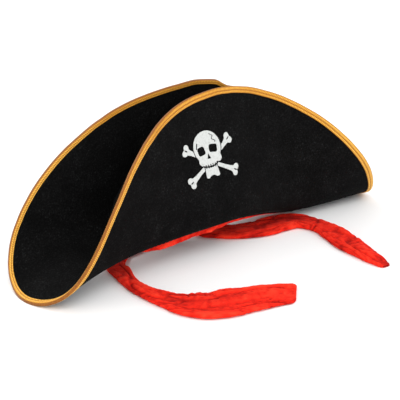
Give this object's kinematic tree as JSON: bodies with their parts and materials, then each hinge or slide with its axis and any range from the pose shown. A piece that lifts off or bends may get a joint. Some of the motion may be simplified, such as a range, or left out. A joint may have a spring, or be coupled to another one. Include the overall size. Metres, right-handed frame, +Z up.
{
  "type": "pirate hat",
  "caption": "Stiffened felt costume hat with front and back brim flaps folded up, gold edge braid, a skull print and a red scarf band with trailing tails.",
  "frame": {"origin": "on the surface the hat stands on, under the centre of the head opening", "axes": "+X along the folded brim towards the wearer's left tip, -Y to the front flap with the print, +Z up"},
  "size_m": [0.449, 0.2382, 0.1681],
  "materials": {
    "black_felt": "matt brushed felt",
    "crown_felt": "matt brushed felt",
    "gold_braid": "woven gimp with a satin thread",
    "gold_thread": "twisted thread",
    "black_thread": "twisted thread",
    "red_cotton": "crinkled cotton gauze",
    "red_thread": "twisted thread",
    "white_film": "matt transfer print"
  },
  "bodies": {
    "hat": {"brim_felt": "black_felt", "crown_wall": "crown_felt", "crown_top": "crown_felt", "edge_braid": "gold_braid", "braid_stitching": "gold_thread", "opening_stitching": "black_thread", "scarf_band": "red_cotton", "tail_bar_tacks": "red_thread", "skull_print": "white_film", "crossbones_print": "white_film"},
    "left_tail": {"scarf_tail_left": "red_cotton"},
    "right_tail": {"scarf_tail_right": "red_cotton"}
  },
  "joints": [
    {"name": "left_tail_swing", "type": "hinge", "parent": "hat", "child": "left_tail", "pos_m": [-0.016, 0.033, 0], "axis": [0, 0, 1], "range_deg": [-12, 12]},
    {"name": "right_tail_swing", "type": "hinge", "parent": "hat", "child": "right_tail", "pos_m": [0.016, 0.033, 0], "axis": [0, 0, 1], "range_deg": [-12, 4]}
  ]
}
